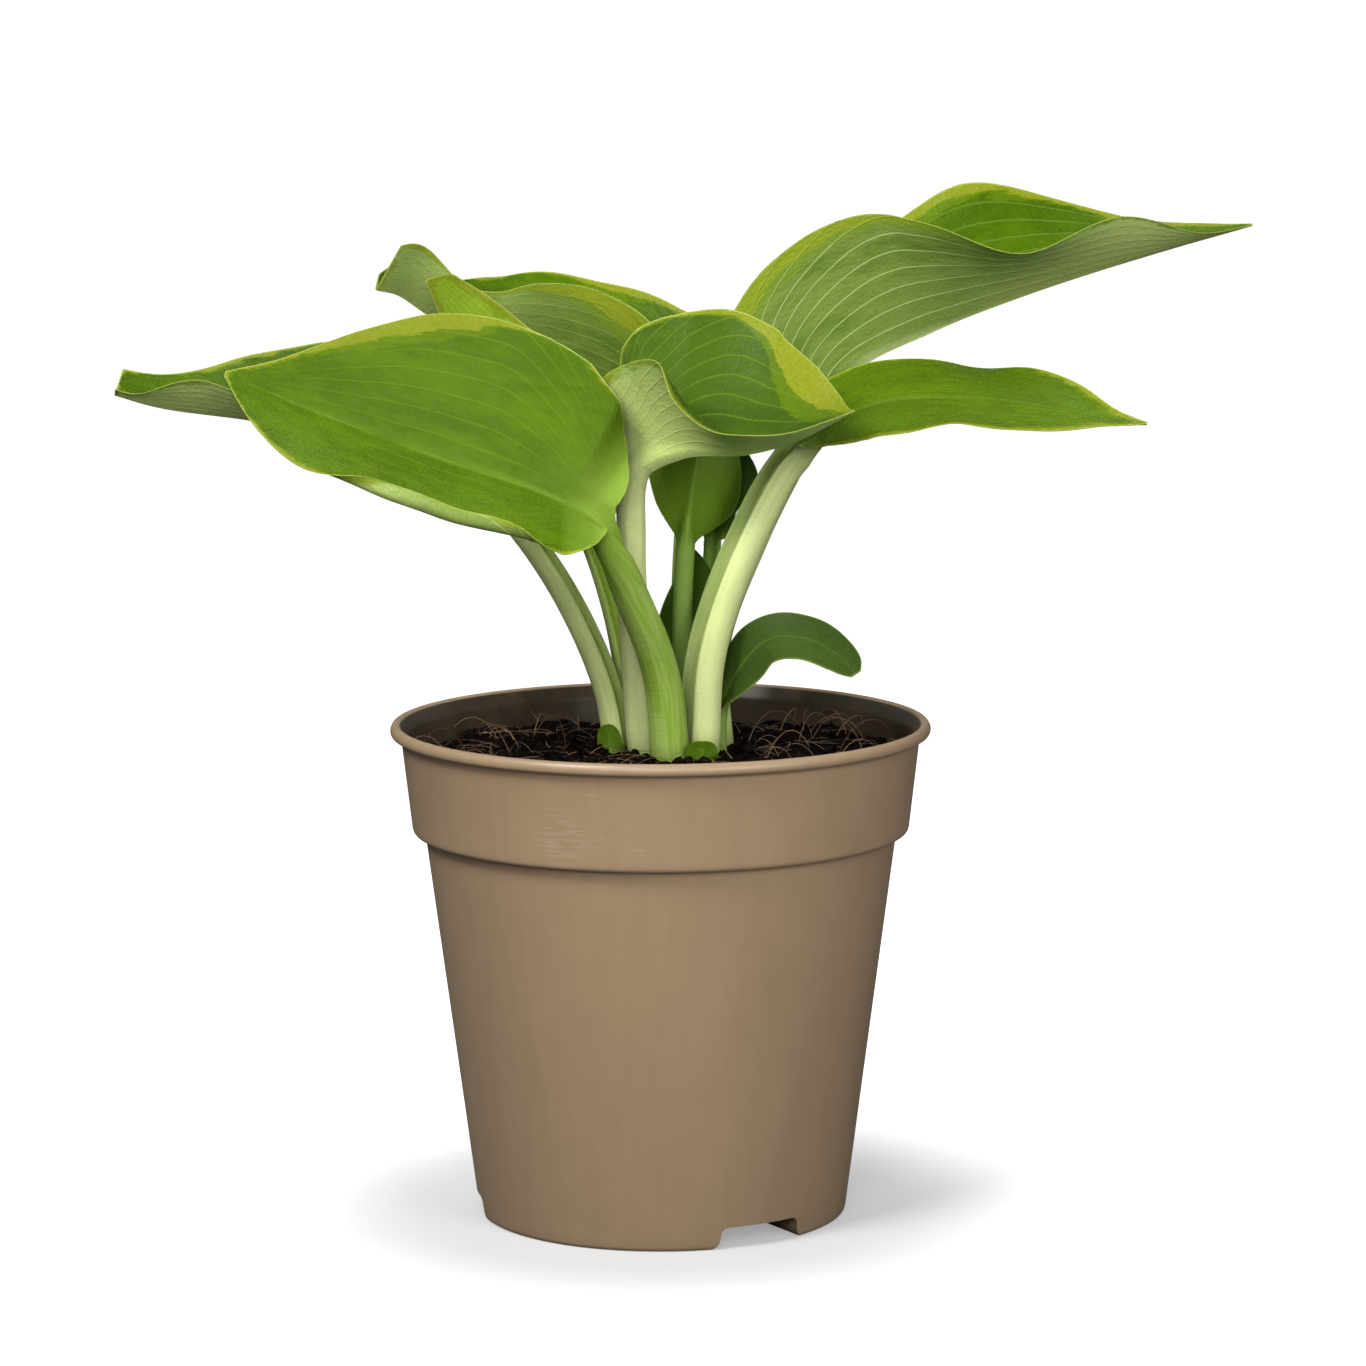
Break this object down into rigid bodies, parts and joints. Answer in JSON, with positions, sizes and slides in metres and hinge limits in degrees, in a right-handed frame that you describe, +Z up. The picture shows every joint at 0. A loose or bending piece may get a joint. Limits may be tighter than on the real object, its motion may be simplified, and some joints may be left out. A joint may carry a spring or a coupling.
{
  "type": "potted hosta plant",
  "caption": "Young hosta with arching stalked, yellow-margined leaves growing from a crown in a round tapered nursery pot with a deep collar.",
  "frame": {"origin": "centre of the flat underside of the pot, where the pot's own axis meets the surface it stands on", "axes": "+Z up along the pot's axis; +X to the right and +Y to the back, with the front of the plant facing -Y"},
  "size_m": [0.3666, 0.1769, 0.3187],
  "materials": {
    "pot": "satin",
    "soil": "matte",
    "crown": "matte",
    "leaf": "satin",
    "young_leaf": "satin",
    "basal_scale": "matte"
  },
  "bodies": {
    "root": {"pot": "pot", "soil": "soil", "crown": "crown", "leaf_front_left": "leaf", "leaf_far_left": "leaf", "leaf_back_left": "leaf", "leaf_mid_left": "leaf", "leaf_centre": "leaf", "leaf_top_right": "leaf", "leaf_right": "leaf", "leaf_young_upright": "young_leaf", "leaf_young_back": "young_leaf", "leaf_unfurling": "young_leaf", "leaf_low_right": "young_leaf", "basal_scale_middle": "basal_scale", "basal_scale_front": "basal_scale", "basal_scale_left": "basal_scale"}
  },
  "joints": []
}
